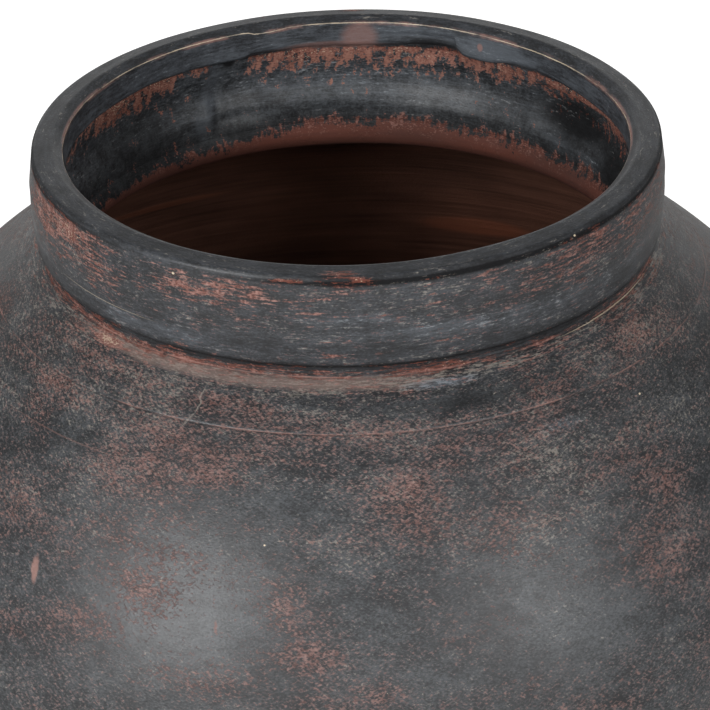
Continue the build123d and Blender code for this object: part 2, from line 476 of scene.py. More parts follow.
def thrown_tree():
    """Node tree that turns a section about the jar's axis and leaves the potter's handwork in it."""
    name = "Thrown clay"
    if name in bpy.data.node_groups:
        return bpy.data.node_groups[name]
    tree = bpy.data.node_groups.new(name, "GeometryNodeTree")
    group_in = tree.nodes.new("NodeGroupInput")
    group_out = tree.nodes.new("NodeGroupOutput")
    kinds = {
        "Section": "NodeSocketGeometry",
        "Steps Round": "NodeSocketInt",
        "Lumps": "NodeSocketFloat",
        "Ridges": "NodeSocketFloat",
        "Rim Wobble": "NodeSocketFloat",
        "Fold Wave": "NodeSocketFloat",
        "Dents": "NodeSocketFloat",
        "Seed": "NodeSocketFloat",
        "Outside Finish": "NodeSocketMaterial",
        "Inside Finish": "NodeSocketMaterial",
        "Inside From": "NodeSocketFloat",
    }
    for label, kind in kinds.items():
        tree.interface.new_socket(label, in_out="INPUT", socket_type=kind)
    tree.interface.new_socket("Piece", in_out="OUTPUT", socket_type="NodeSocketGeometry")
    inputs = {label: group_in.outputs[label] for label in kinds}

    # The section is swept along a guide circle, so it is laid flat and measured from that circle
    guide_radius = 0.1
    section = add(tree, "GeometryNodeMeshToCurve", inputs["Section"])
    place = add(tree, "GeometryNodeInputPosition")
    split = add(tree, "ShaderNodeSeparateXYZ", place).node.outputs
    out = add(tree, "ShaderNodeMath", split["X"], guide_radius, operation="SUBTRACT")
    down = add(tree, "ShaderNodeMath", split["Z"], -1.0, operation="MULTIPLY")
    flat = add(tree, "ShaderNodeCombineXYZ", out, down, 0.0)
    section = add(tree, "GeometryNodeSetPosition", section, True, flat)
    guide_sizes = {"Resolution": inputs["Steps Round"], "Radius": guide_radius}
    guide = add(tree, "GeometryNodeCurvePrimitiveCircle", named=guide_sizes)
    wall = add(tree, "GeometryNodeCurveToMesh", named={"Curve": guide, "Profile Curve": section})
    wall = add(tree, "GeometryNodeMergeByDistance", wall, named={"Distance": 0.01 * MM})

    # Direction out from the axis, and the weights and the outline distance that the section carries
    around = add(tree, "ShaderNodeVectorMath", place, (1, 1, 0), operation="MULTIPLY")
    around = add(tree, "ShaderNodeVectorMath", around, operation="NORMALIZE")
    carried = {
        label: add(tree, "GeometryNodeInputNamedAttribute", label, data_type="FLOAT") for label in WEIGHTS
    }
    outline = carried["outline_mm"]
    shift = add(tree, "ShaderNodeCombineXYZ", inputs["Seed"], 0.0, inputs["Seed"])

    def wander(stretch, height_scale, detail):
        """Signed noise that runs round the jar without a seam, finer round it with more stretch."""
        ring = add(tree, "ShaderNodeVectorMath", around, (stretch, stretch, 0), operation="MULTIPLY")
        climb = add(tree, "ShaderNodeMath", outline, height_scale, operation="MULTIPLY")
        climb = add(tree, "ShaderNodeCombineXYZ", 0.0, 0.0, climb)
        spot = add(tree, "ShaderNodeVectorMath", ring, climb, operation="ADD")
        spot = add(tree, "ShaderNodeVectorMath", spot, shift, operation="ADD")
        noise = add(tree, "ShaderNodeTexNoise", named={"Vector": spot, "Scale": 1.0, "Detail": detail})
        return add(tree, "ShaderNodeMath", noise, 0.5, operation="SUBTRACT")

    # Broad lumps and fine turning ridges push the walls in and out
    lump_size = 75 * MM
    ridge_spacing = 3.5
    lump_spot = add(tree, "ShaderNodeVectorMath", place, shift, operation="ADD")
    lump = add(tree, "ShaderNodeTexNoise", named={"Vector": lump_spot, "Scale": 1 / lump_size, "Detail": 2.0})
    lump = add(tree, "ShaderNodeMath", lump, 0.5, operation="SUBTRACT")
    lump = add(tree, "ShaderNodeMath", lump, inputs["Lumps"], operation="MULTIPLY")
    ridge = wander(1.2, 1 / ridge_spacing, 2.0)
    ridge = add(tree, "ShaderNodeMath", ridge, inputs["Ridges"], operation="MULTIPLY")
    outward = add(tree, "ShaderNodeMath", lump, ridge, operation="ADD")

    # Angle from the front in degrees, and the finger dents that press the bore outwards
    heading = add(tree, "ShaderNodeSeparateXYZ", around).node.outputs
    front = add(tree, "ShaderNodeMath", heading["Y"], -1.0, operation="MULTIPLY")
    angle = add(tree, "ShaderNodeMath", heading["X"], front, operation="ARCTAN2")
    angle = add(tree, "ShaderNodeMath", angle, 180 / math.pi, operation="MULTIPLY")

    hollow_spacing = 60
    dent = add(tree, "ShaderNodeMath", wander(3.0, 1 / hollow_spacing, 1.0), 0.8, operation="MULTIPLY")
    dent = add(tree, "ShaderNodeMath", dent, carried["bore"], operation="MULTIPLY")
    for starts, full, fades, ends, top, bottom, depth in DENTS:
        sides = (
            (angle, starts, full),
            (angle, ends, fades),
            (outline, top, top - DENT_SHOULDER),
            (outline, bottom, bottom + DENT_FOOT),
        )
        press = depth
        for field, low, high in sides:
            side = add(
                tree, "ShaderNodeMapRange", field, low, high, 0.0, 1.0, interpolation_type="SMOOTHSTEP"
            )
            press = add(tree, "ShaderNodeMath", press, side, operation="MULTIPLY")
        dent = add(tree, "ShaderNodeMath", dent, press, operation="ADD")
    dent = add(tree, "ShaderNodeMath", dent, inputs["Dents"], operation="MULTIPLY")
    outward = add(tree, "ShaderNodeMath", outward, dent, operation="ADD")

    # The lip rises and falls, the fold's edge wavers, and the lip's inner edge and the shoulder settle
    wobble = add(tree, "ShaderNodeMath", wander(1.4, 0.0, 1.0), inputs["Rim Wobble"], operation="MULTIPLY")
    wave = add(tree, "ShaderNodeMath", wander(9.0, 0.0, 3.0), inputs["Fold Wave"], operation="MULTIPLY")
    wave = add(tree, "ShaderNodeMath", wave, turning_curve(tree, angle, FOLD_EDGE), operation="ADD")
    heights = {
        "lip": wobble,
        "fold": wave,
        "edge": turning_curve(tree, angle, INNER_EDGE),
        "slope": turning_curve(tree, angle, SHOULDER_RISE),
    }
    rise = 0.0
    for label, height in heights.items():
        rise = add(tree, "ShaderNodeMath", height, carried[label], rise, operation="MULTIPLY_ADD")

    push = add(tree, "ShaderNodeVectorMath", around, named={"Scale": outward}, operation="SCALE")
    lift = add(tree, "ShaderNodeCombineXYZ", 0.0, 0.0, rise)
    move = add(tree, "ShaderNodeVectorMath", push, lift, operation="ADD")
    wall = add(tree, "GeometryNodeSetPosition", wall, True, named={"Offset": move})
    wall = add(tree, "GeometryNodeSetMaterial", wall, True, inputs["Outside Finish"])
    is_inside = add(tree, "FunctionNodeCompare", outline, inputs["Inside From"], operation="LESS_THAN")
    wall = add(tree, "GeometryNodeSetMaterial", wall, is_inside, inputs["Inside Finish"])
    wall = add(tree, "GeometryNodeRealizeInstances", wall)
    tree.links.new(wall, group_out.inputs[0])
    return tree


def smooth_step(value, low, high):
    """0 below low, 1 above high and an even blend between."""
    t = min(1, max(0, (value - low) / (high - low)))
    return t * t * (3 - 2 * t)


def hand_weights(sizes, section):
    """For each point of a section, its outline distance and how much of each kind of handwork it takes."""
    fold_middle = sizes.rim_base + 2 * MM
    fold_reach = 4 * MM
    bore_middle = (sizes.neck_height + sizes.rim_base) / 2
    bore_height = sizes.rim_base - sizes.neck_height
    # The lip's inner edge wears over its last 4 mm and fades out within about 3 mm below
    bevel = math.hypot(sizes.bevel_width, sizes.bevel_drop)
    edge_above, edge_below = 4, 3
    rows = []
    for r, z, travelled in section:
        along = travelled / MM
        past_edge = (-travelled - bevel) / MM
        on_fold = travelled < 0 and z > sizes.rim_base + 0.1 * MM
        in_bore = travelled < 0 and sizes.neck_height < z < sizes.rim_base
        lip = smooth_step(z, sizes.neck_height, sizes.rim_base)
        fold = math.exp(-((z - fold_middle) / fold_reach) ** 2) if on_fold else 0
        bore = smooth_step(0.5 - abs(z - bore_middle) / bore_height, 0, 0.15) if in_bore else 0
        edge = smooth_step(past_edge, -edge_above, 0) * math.exp(-(max(0, past_edge) / edge_below) ** 2)
        slope = smooth_step(along, *SLOPE_STARTS) * (1 - smooth_step(along, *SLOPE_ENDS))
        rows.append((along, lip, fold, bore, edge, slope))
    return dict(zip(WEIGHTS, zip(*rows)))


def thrown_piece(context, node, section, inside_from=NOWHERE, closed=True):
    """Turns a section about the axis into the finished piece that stands for a clay section."""
    hand = context.scene.jar_handwork
    mesh = bpy.data.meshes.new(node + "_section")
    last = len(section) - 1
    edges = [(k, k + 1) for k in range(last)] + ([(last, 0)] if closed else [])
    mesh.from_pydata([(r, 0, z) for r, z, travelled in section], edges, [])
    for label, values in hand_weights(context.scene.jar_sizes, section).items():
        mesh.attributes.new(label, "FLOAT", "POINT").data.foreach_set("value", values)

    piece = bpy.data.objects.new(node + "_piece", mesh)
    context.scene.collection.objects.link(piece)
    modifier = piece.modifiers.new("Thrown clay", "NODES")
    modifier.node_group = thrown_tree()
    wanted = {
        "Steps Round": STEPS_ROUND[node],
        "Lumps": hand.lumps,
        "Ridges": hand.ridges,
        "Rim Wobble": hand.rim_wobble,
        "Fold Wave": hand.fold_wave,
        "Dents": hand.dents,
        "Seed": float(hand.seed),
        "Outside Finish": painted_terracotta(context),
        "Inside Finish": bare_terracotta(context),
        "Inside From": inside_from / MM,
    }
    for item in modifier.node_group.interface.items_tree:
        if item.in_out == "INPUT" and item.name in wanted:
            modifier[item.identifier] = wanted[item.name]
    graph = context.evaluated_depsgraph_get()
    finished = bpy.data.meshes.new_from_object(piece.evaluated_get(graph))
    piece.modifiers.remove(modifier)
    piece.data = finished
    bpy.data.meshes.remove(mesh)
    shell = bmesh.new()
    shell.from_mesh(finished)
    bmesh.ops.recalc_face_normals(shell, faces=shell.faces)
    shell.to_mesh(finished)
    shell.free()
    wear(finished)
    finished.polygons.foreach_set("use_smooth", [True] * len(finished.polygons))
    finished.set_sharp_from_angle(angle=CREASE)
    if not finished.polygons:
        raise RuntimeError(node + " has no faces")
    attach(piece, "root")
    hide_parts(node)
    return piece


def closed_section(outline, node, top_seam, bottom_seam):
    """A section's closed outline: down the outside, across the seam, up the inside and across the top."""
    outer = outline.outer[node]
    inner = outline.inner[node]
    section = [*outer, seam_middle(outer[-1], inner[-1], bottom_seam), *reversed(inner)]
    if top_seam:
        section.append(seam_middle(outer[0], inner[0], top_seam))
    else:
        section.pop()
    return section


# Levels of wear along the outline: millimetres from the crest of the lip, negative inside, and the level
LEVELS = {
    "worn": (
        (-60, -0.1), (-52, -0.35), (-45, -0.4), (-36, -0.2), (-29, 0.02), (-24, 0.22), (-21, 0.4),
        (-19.5, 0.3), (-18, -0.6), (-6, -0.6), (-5.2, -0.1), (-4.2, -0.1), (-3, -0.6), (8, -0.5),
        (10, -0.3), (12.2, 0.0), (20, 0.0), (32, -0.07), (37, -0.18), (46.5, -0.2), (48, -0.3),
        (50.8, -0.1), (52.5, 0.0), (54, 0.2), (56.2, 0.28), (57, 0.08), (60, 0.06), (65, 0.06),
        (120, 0.07), (150, 0.02), (600, 0.02),
    ),
    "dust": (
        (-60, -0.5), (-45, -0.42), (-30, -0.28), (-21, -0.25), (-18, -0.45), (-5, -0.42), (0, -0.24),
        (8, -0.26), (10, -0.4), (13, -0.2), (33, -0.22), (38, -0.26), (46, -0.26), (49, -0.4),
        (54, -0.35), (57, 0.06), (60, 0.08), (66, 0.0), (78, -0.11), (120, -0.18), (150, -0.26),
        (600, -0.22),
    ),
    "blue": (
        (-60, 0.1), (-40, 0.2), (-20, 0.25), (-14, 0.32), (-6, 0.25), (-3, 0.06), (8, 0.06), (12, 0.0),
        (20, 0.0), (36, 0.1), (46, 0.1), (50, -0.2), (600, 0.0),
    ),
    # The dark level is mostly painted shade: under the collar over the recessed band, under the fold's lower
    # edge and down inside the neck, on the lip's inner bevel, and the dark reflection on the lip's outer
    # rounding, with some thick paint
    "dark": (
        (-60, 0.5), (-53, 0.3), (-46, 0.0), (-24, 0.0), (-20.5, 0.2), (-19.5, 0.45), (-17.5, 0.3),
        (-16, 0.0), (-6, 0.0), (-3, 0.25), (0, 0.15), (7.5, 0.2), (8.4, 0.45), (9.8, 0.5),
        (10.4, 0.75), (11.6, 0.75), (12.3, 0.1), (35, 0.0), (45, 0.1), (48, 0.58), (50.8, 0.68),
        (52.6, 0.42), (54, 0.3), (56.5, 0.3), (57.3, 0.0), (600, 0.0),
    ),
}

# Spots added one by one: angle from the front, outline distance, half-angle, half-height and strength
SPOTS = {
    "worn": (
        # Lip
        (-2, 6, 4, 3, 1.0),
        (2, 9.5, 2.5, 1.3, 0.9),
        (-10, 10, 4, 1.2, 0.9),
        (16.5, 5.5, 1.2, 2.5, 0.4),
        # Collar
        (-57, 15, 7, 6, 0.5),
        (-68, 20, 9, 9, 0.42),
        (-53, 27, 8, 7, 0.28),
        (-20, 18, 9, 6, 0.28),
        (-31, 19, 6, 6, 0.16),
        (47, 16, 7, 5, 0.28),
        (42, 26, 6, 5, 0.18),
        (64, 22, 9, 9, 0.2),
        (4, 28, 14, 9, -0.15),
        (-3.5, 42.3, 2, 1.2, 0.6),
        (5, 41.8, 1.5, 1, 0.6),
        # Recessed band
        (-50, 53.5, 25, 3, 0.2),
        (-47, 59.5, 3, 2.2, 0.95),
        (13, 53.5, 9, 2.5, 0.2),
        (-1, 53, 5, 3, -0.15),
        (45, 53, 15, 3, -0.15),
        # Shoulder
        (-50, 71, 12, 8, 0.2),
        (-17, 72, 7, 5, 0.2),
        (7, 64, 4, 3, 0.2),
        (33, 74, 6, 5, 0.22),
        (54, 73, 7, 7, 0.18),
        (0, 81, 10, 7, 0.22),
        (16, 72, 14, 4, -0.3),
        (-52, 73, 3, 3, -0.3),
        # Body
        (-50, 86, 6, 5, 0.22),
        (-28, 88, 5, 6, 0.28),
        (-19, 100, 3.5, 6, 0.36),
        (-31, 112, 7, 10, 0.2),
        (7, 111, 5.5, 11, 0.28),
        (-44, 137, 3, 8, 0.26),
        (-25, 152, 4, 8, 0.32),
        (-23, 136, 4, 4, 0.2),
        (-32, 169, 4, 5, 0.2),
        (-8, 152, 2.5, 9, 0.24),
        (-6, 168, 3, 8, 0.24),
        (36, 161, 5, 12, 0.28),
        (40, 126, 3, 10, 0.22),
        (-16, 183, 5, 6, 0.22),
        (3, 183, 3, 6, 0.22),
        (-42, 98, 5, 6, -0.25),
        (-8, 113, 8, 7, -0.3),
        (3, 157, 4, 10, -0.25),
        (-15, 162, 5, 9, -0.2),
        (25, 172, 8, 16, -0.25),
        (15, 150, 5, 8, -0.2),
        (49, 99, 10, 7, -0.25),
        (50, 120, 6, 25, -0.15),
        (-15, 128, 7, 4, -0.2),
        # Inside
        (236, -26, 10, 7, 0.35),
        (222, -23, 5, 4, 0.2),
        (190, -25, 7, 6, 0.3),
        (146, -25, 6, 7, 0.25),
        (164, -25, 9, 6, 0.25),
        (109, -28, 5, 10, 0.35),
        (122, -24, 10, 5, 0.2),
        (172, -36, 9, 8, 0.15),
        (206, -26, 3, 8, -0.9),
        (215, -26, 3, 6, -0.5),
    ),
    "dust": (
        (-28, 57.8, 14, 2, 0.2),
        (14, 60, 9, 3, 0.2),
        (164, -9, 9, 3.5, 0.25),
        (55, 72, 8, 7, 0.15),
        (26, 104, 8, 14, 0.22),
        (22, 131, 3, 7, 0.2),
        (10, 124, 3, 8, 0.16),
        (16, 71, 14, 4, -0.3),
        (-10, 114, 9, 10, -0.25),
        (-17, 160, 9, 14, -0.2),
        (26, 172, 8, 16, -0.2),
        (60, 98, 12, 25, 0.08),
        (-62, 92, 10, 20, 0.1),
        (50, 31, 6, 5, 0.2),
        (182, -32, 14, 8, 0.18),
        (144, -13, 8, 7, 0.15),
    ),
    "blue": (
        (0, 26, 10, 3, 0.25),
        (14, 33, 14, 3, 0.2),
        (-38, 41, 16, 4, 0.25),
        (15, 62, 10, 3.5, 0.6),
        (-12, 69, 6, 4, 0.4),
        (-7, 102, 4, 5, 0.4),
        (7, 99, 5, 2.5, 0.4),
        (31, 92, 6, 5, 0.5),
        (-69, 70, 6, 8, 0.3),
        (178, -41, 30, 10, 0.1),
        (40, 36, 20, 6, 0.15),
        (164, -9, 9, 3.5, 0.3),
        (144, -13, 8, 7, 0.3),
        # These seven rows are painted highlights: the lit crescent round the right finger dent and the lit
        # crest beside the left one
        (137, -37, 2.5, 6, 0.1),
        (135, -46, 3, 4, 0.1),
        (129, -51, 4, 3, 0.2),
        (116, -52, 9, 4, 0.15),
        (208.7, -28, 1.6, 7, 0.2),
        (210, -40, 1.6, 8, 0.28),
        (212.5, -51, 1.8, 7, 0.25),
    ),
    # Most dark spots are painted shade: in and beside the finger dents, in the recess beside the fold's flap,
    # and along the lip's outer rounding
    "dark": (
        (125, -38, 9, 10, 1.2),
        (108, -44, 8, 14, 0.8),
        (142, -40, 12, 12, 0.3),
        (232, -42, 18, 15, 0.5),
        (161, -15.5, 8, 3, 0.7),
        (19, 72, 14, 3.5, 0.5),
        (22, 11.2, 34, 1.2, 0.6),
        (-30, 10.8, 20, 2.4, -0.6),
    ),
}

# Turns in degrees and drops in millimetres at which the wear comes again on the sides out of the picture:
# not inside, once behind on the lip and collar, and at all of them from this outline distance down
REPEATS = ((0, 0), (180, 0), (70, 135), (250, 135))
BODY_FROM = 62

# Marks on the outside: distance round from the front and along the outline, half-length, half-height,
# strength, tint, and how far each leans along the ring for each millimetre down
OUTER_MARKS = (
    (-113, 38.1, 36, 0.25, 0.3, "cream", 0),
    (-36, 127.6, 0.7, 0.5, 0.9, "cream", 0),
    (128, 93.5, 0.7, 0.6, 0.9, "cream", 0),
    (98, 10.2, 0.6, 0.6, 0.9, "cream", 0),
    (-73, 14.2, 0.7, 0.6, 0.9, "cream", 0),
    (-127, 104, 45, 0.4, 0.22, "clay", 0),
    (-61.8, 71.5, 0.5, 8.5, 0.5, "dust", -0.38),
    (-67.2, 81.5, 0.7, 4, 0.4, "dust", -0.9),
    (-138, 157, 2.2, 6.5, 0.7, "clay", -0.2),
    (-56, 161, 0.7, 3.5, 0.7, "red_clay", 0),
    (124, 56.6, 40, 0.35, 0.6, "cream", 0),
)

# Marks on the inside, measured round from the back in the same way; the black mark is a painted shadow in a
# notch at the top of a finger dent
INNER_MARKS = (
    (7.3, -12.5, 10.5, 10, 0.45, "clay", 0),
    (-6, -17.5, 30, 3.5, 0.35, "clay", 0),
    (65, -11, 1.8, 2, 0.6, "clay", 0),
    (-55, -22.5, 4, 3, 0.9, "black_paint_and_shade", 0),
)

# Painted light on the bare clay low inside, glints and pools of light in a lighter warm clay: place in the
# same way, half-size and strength
PAINTED_GLINTS = (
    ((75, -184), (60, 32), 0.04),
    ((66, -190), (36, 8), 0.45),
    ((-95, -156), (45, 3.5), 0.25),
)

# Noises in the paint: length along the rings and across them in millimetres, detail, shift and roughness.
# Brush hairs and grit are too fine to show, so flecks and grit are drawn about a millimetre wide.
GRAINS = {
    "fleck": (1.2, 0.7, 2.0, 2.0, 0.5),
    "grit": (0.9, 0.7, 1.0, 17.0, 0.5),
    "crumb": (3.5, 7, 6.0, 6.0, 0.7),
    "smudge": (9, 5, 4.0, 13.0, 0.5),
    "streak": (60, 1.5, 4.0, 31.0, 0.6),
}

# Brush strokes that lay clay and dust bare: slant on the body in degrees, shift, and length on the collar
STROKES = ((32, 0.0, 7.0), (48, 21.0, 4.5))

# Strokes cross on the body: turn from the slant in degrees, length in millimetres and shift. They are drawn
# wider than brush hairs for the same reason.
CROSSINGS = ((0, 3.0, 0), (-64, 2.6, 3))
STROKE_WIDTH = 1.1

# Outline distances in millimetres over which the collar's strokes give way to the body's
BODY_STROKES = (57, 72)

# Distances inwards from the crest over which the lip's paint gives way to the neck's, and the paint ends
NECK_STROKES = (15, 20)
PAINT_ENDS = (56.5, 58)

# Outline distances over which crumbs of pale clay come in above the bare inside
CRUMBS = (-68, -56)

# Marks that trimming leaves on bare clay: along and across in millimetres, detail and shift
TRIMMING = (60, 2.5, 4.0, 3.0)


def wear(mesh):
    """Writes the levels of wear on a finished mesh, from each point's angle and outline distance."""
    count = len(mesh.vertices)
    place = np.empty(count * 3)
    mesh.vertices.foreach_get("co", place)
    place = place.reshape(count, 3)
    outline = np.empty(count)
    mesh.attributes["outline_mm"].data.foreach_get("value", outline)
    angle = np.degrees(np.arctan2(place[:, 0], -place[:, 1]))
    for label, stops in LEVELS.items():
        level = np.interp(outline, *zip(*stops))
        for middle_angle, middle, half_angle, half_height, strength in SPOTS[label]:
            times = 1 if middle < 0 else 2 if middle < BODY_FROM else len(REPEATS)
            for turned, lower in REPEATS[:times]:
                turn = (angle - middle_angle - turned + 180) % 360 - 180
                away = (turn / half_angle) ** 2 + ((outline - middle - lower) / half_height) ** 2
                level += strength * np.exp(-away)
        mesh.attributes.new(label, "FLOAT", "POINT").data.foreach_set("value", level)


def grain(tree, place, outline, along, across, detail, shift, rough=0.5):
    """Noise drawn out along the jar's rings and across them, both in millimetres."""
    ring = add(tree, "ShaderNodeVectorMath", place, (1 / along / MM, 1 / along / MM, 0), operation="MULTIPLY")
    climb = add(tree, "ShaderNodeMath", outline, 1 / across, operation="MULTIPLY")
    climb = add(tree, "ShaderNodeCombineXYZ", shift, shift, climb)
    spot = add(tree, "ShaderNodeVectorMath", ring, climb, operation="ADD")
    return add(tree, "ShaderNodeTexNoise", spot, named={"Scale": 1.0, "Detail": detail, "Roughness": rough})


def hatch(tree, ring, outline, slant, along, across, shift):
    """Noise drawn out into short strokes at a slant to the jar's rings, in millimetres."""
    spot = add(tree, "ShaderNodeCombineXYZ", ring, outline, shift)
    turned = {"Rotation": (0, 0, math.radians(slant)), "Scale": (along, across, 1)}
    spot = add(tree, "ShaderNodeMapping", spot, named=turned, vector_type="TEXTURE")
    return add(tree, "ShaderNodeTexNoise", spot, named={"Scale": 1.0, "Detail": 5.0, "Roughness": 0.75})


def gather(tree, level, *parts):
    """A level with weighted noises added, each centred on zero."""
    for noise, weight in parts:
        centred = add(tree, "ShaderNodeMath", noise, weight, -weight / 2, operation="MULTIPLY_ADD")
        level = add(tree, "ShaderNodeMath", level, centred, operation="ADD")
    return level


def coats(tree, ground, *laid, kind="RGBA"):
    """A ground with other colours, or numbers, laid over it in turn, each by its own amount."""
    for amount, coat in laid:
        ground = add(tree, "ShaderNodeMix", amount, ground, coat, data_type=kind)
    return ground


def shows(tree, level, low, high, *noises, top=1.0):
    """How far a level with weighted noises shows: 0 below low, top above high, an even blend between."""
    level = gather(tree, level, *noises)
    return add(tree, "ShaderNodeMapRange", level, low, high, 0.0, top, interpolation_type="SMOOTHSTEP")


def stripe(tree, distance, middle, half_width, amount):
    """A stripe with soft edges, where a distance is near its middle."""
    away = add(tree, "ShaderNodeMath", distance, -middle, operation="ADD")
    away = add(tree, "ShaderNodeMath", away, operation="ABSOLUTE")
    edges = (0.4 * half_width, half_width)
    line = add(tree, "ShaderNodeMapRange", away, *edges, 1.0, 0.0, interpolation_type="SMOOTHSTEP")
    return add(tree, "ShaderNodeMath", line, amount, operation="MULTIPLY")


def mark(tree, ring, outline, place, half_size, strength, lean=0.0):
    """A small worn mark with a soft edge, at a distance round the jar and along its outline."""
    along, down = place
    upright = add(tree, "ShaderNodeMath", outline, -lean, ring, operation="MULTIPLY_ADD")
    spot = add(tree, "ShaderNodeCombineXYZ", upright, outline, 0.0)
    spot = add(tree, "ShaderNodeVectorMath", spot, (along - lean * down, down, 0), operation="SUBTRACT")
    spot = add(tree, "ShaderNodeVectorMath", spot, (*half_size, 1), operation="DIVIDE")
    away = add(tree, "ShaderNodeVectorMath", spot, operation="LENGTH", out="Value")
    return add(tree, "ShaderNodeMapRange", away, 0.5, 1.0, strength, 0.0, interpolation_type="SMOOTHSTEP")


def new_material(name):
    """A material with its node tree and its shader."""
    material = bpy.data.materials.new(name)
    material.use_nodes = True
    return material, material.node_tree, material.node_tree.nodes["Principled BSDF"]


def ring_distances(tree, place):
    """Distances along the ring from the front and from the back, in millimetres."""
    split = add(tree, "ShaderNodeSeparateXYZ", place).node.outputs
    front = add(tree, "ShaderNodeMath", split["Y"], -1.0, operation="MULTIPLY")
    flat = add(tree, "ShaderNodeCombineXYZ", split["X"], split["Y"], 0.0)
    radius = add(tree, "ShaderNodeVectorMath", flat, operation="LENGTH", out="Value")
    rings = []
    for ahead in (front, split["Y"]):
        angle = add(tree, "ShaderNodeMath", split["X"], ahead, operation="ARCTAN2")
        ring = add(tree, "ShaderNodeMath", angle, radius, operation="MULTIPLY")
        rings.append(add(tree, "ShaderNodeMath", ring, 1 / MM, operation="MULTIPLY"))
    return rings


def clay_streaks(tree, place, outline, clay, dark):
    """Bare clay with the long streaks that trimming leaves."""
    streak = grain(tree, place, outline, *TRIMMING)
    smudge = grain(tree, place, outline, 45, 30, 3.0, 5.0)
    amount = gather(tree, 0.4, (streak, 1.2), (smudge, 1.4))
    return coats(tree, dark, (amount, clay))


def painted_terracotta(context):
    """Charcoal paint on fired clay, rubbed back so that clay, pale bloom and grit show through."""
    name = "Charcoal paint on terracotta"
    if name in bpy.data.materials:
        return bpy.data.materials[name]
    # Thin brushed paint over a porous body: dark and faintly bluish, broken into strokes where cloth or sand
    # has taken it off, with dull red clay and pale lime dust between
    finish = context.scene.jar_finish
    tint = {label: (*getattr(finish, label), 1) for label in finish.__annotations__}
    material, tree, shader = new_material(name)
    place = add(tree, "ShaderNodeTexCoord", out="Object")
    outline = add(tree, "ShaderNodeAttribute", out="Fac", attribute_name="outline_mm")
    worn, dust, blue, dark = (
        add(tree, "ShaderNodeAttribute", out="Fac", attribute_name=label) for label in LEVELS
    )
    depth = add(tree, "ShaderNodeMath", outline, -1.0, operation="MULTIPLY")
    on_body = shows(tree, outline, *BODY_STROKES)
    inside = shows(tree, depth, *NECK_STROKES)
    ring, back_ring = ring_distances(tree, place)

    # Broad patches, then brush strokes: along the rings on the collar, slanting on the body, crumbled inside
    patch, other_patch = (
        coats(
            tree,
            grain(tree, place, outline, 20, 8, 5.0, shift, 0.65),
            (on_body, grain(tree, place, outline, 34, 24, 7.0, shift, 0.7)),
            kind="FLOAT",
        )
        for shift in (0.0, 9.0)
    )
    fleck, grit, crumb, smudge, streak = (grain(tree, place, outline, *row) for row in GRAINS.values())
    strokes = []
    for slant, shift, reach in STROKES:
        brushed = grain(tree, place, outline, reach, 1.0, 5.0, shift, 0.74)
        crossed = [
            (hatch(tree, ring, outline, slant + turn, stroke, STROKE_WIDTH, shift + aside), 0.75)
            for turn, stroke, aside in CROSSINGS
        ]
        strokes.append(coats(tree, brushed, (on_body, gather(tree, 0.5, *crossed)), kind="FLOAT"))
    clay_stroke, dust_stroke = strokes
    clay_stroke = coats(tree, clay_stroke, (inside, crumb), kind="FLOAT")

    # How far clay, dust, thin paint, blue wash, grit, and black paint with painted shade show
    clay_level = gather(tree, worn, (patch, 1.2), (clay_stroke, 3.0), (fleck, 0.8), (streak, 0.4))
    clay_most = coats(tree, 0.9, (on_body, 0.58), kind="FLOAT")
    clay_thin = shows(tree, clay_level, 0.1, 0.5)
    clay_thin = add(tree, "ShaderNodeMath", clay_thin, clay_most, operation="MULTIPLY")
    clay_neck = shows(tree, clay_level, 0.12, 0.34, top=0.95)
    clay_shows = coats(tree, clay_thin, (inside, clay_neck), kind="FLOAT")
    dust_noises = ((other_patch, 1.3), (dust_stroke, 3.2), (fleck, 0.8), (streak, 0.7))
    dust_shows = shows(tree, dust, 0.0, 0.5, *dust_noises, top=0.62)
    wash_noises = ((other_patch, 0.8), (smudge, 0.5), (clay_stroke, 1.2), (fleck, 0.9))
    wash_shows = shows(tree, 0.3, 0.0, 0.7, *wash_noises)
    blue_shows = shows(tree, blue, 0.1, 0.6, (patch, 0.6), (dust_stroke, 0.7), (streak, 0.4), top=0.6)
    cream_shows = shows(tree, worn, 0.8, 1.0, (grit, 2.4), (other_patch, 0.8), top=0.4)
    # The dark level lays black paint and painted shade: shade in hollows and under edges, and the dark
    # reflection on the lip's rounding
    dark_paint_and_shade_shows = shows(tree, dark, 0.0, 0.9, (patch, 0.5), top=0.9)

    # The shoulder's top edge, under the recessed band, is rubbed pale on the front left
    marks = Outline(context.scene.jar_sizes)
    wavering = gather(tree, outline, (patch, 0.8), (fleck, 0.3))
    frayed = gather(tree, wavering, (streak, 5.0), (dust_stroke, 3.0), (smudge, 4.0))
    front_left = stripe(tree, ring, -50, 100, 0.42)
    rubbed = stripe(tree, frayed, marks.root_mark / MM + 3.0, 4.2, front_left)

    # Tones of clay, dust and the rubbed edge
    # Bare clay turns to the darker red where the dark level paints shade
    stain_and_shade = add(tree, "ShaderNodeMath", dark, -0.6, 0.5, operation="MULTIPLY_ADD")
    mottle = shows(tree, stain_and_shade, 0.2, 0.8, (crumb, 1.5), (fleck, 1.0))
    clean_clay = coats(tree, tint["clay"], (inside, tint["inner_paint_clay"]))
    clay_tone = coats(tree, tint["red_clay"], (mottle, clean_clay))
    dust_tone = coats(tree, tint["dust"], (shows(tree, blue, 0.05, 0.35), tint["pale_blue"]))
    rubbed_tone = tuple((one + other) / 2 for one, other in zip(tint["dust"], tint["clay"]))

    plain = add(tree, "ShaderNodeMath", on_body, inside, operation="MAXIMUM")
    surface = coats(
        tree,
        tint["paint"],
        (wash_shows, coats(tree, tint["slate"], (plain, tint["wash"]))),
        (blue_shows, tint["blue"]),
        (dark_paint_and_shade_shows, tint["black_paint_and_shade"]),
        (dust_shows, dust_tone),
        (rubbed, rubbed_tone),
        (clay_shows, clay_tone),
        (cream_shows, tint["cream"]),
    )

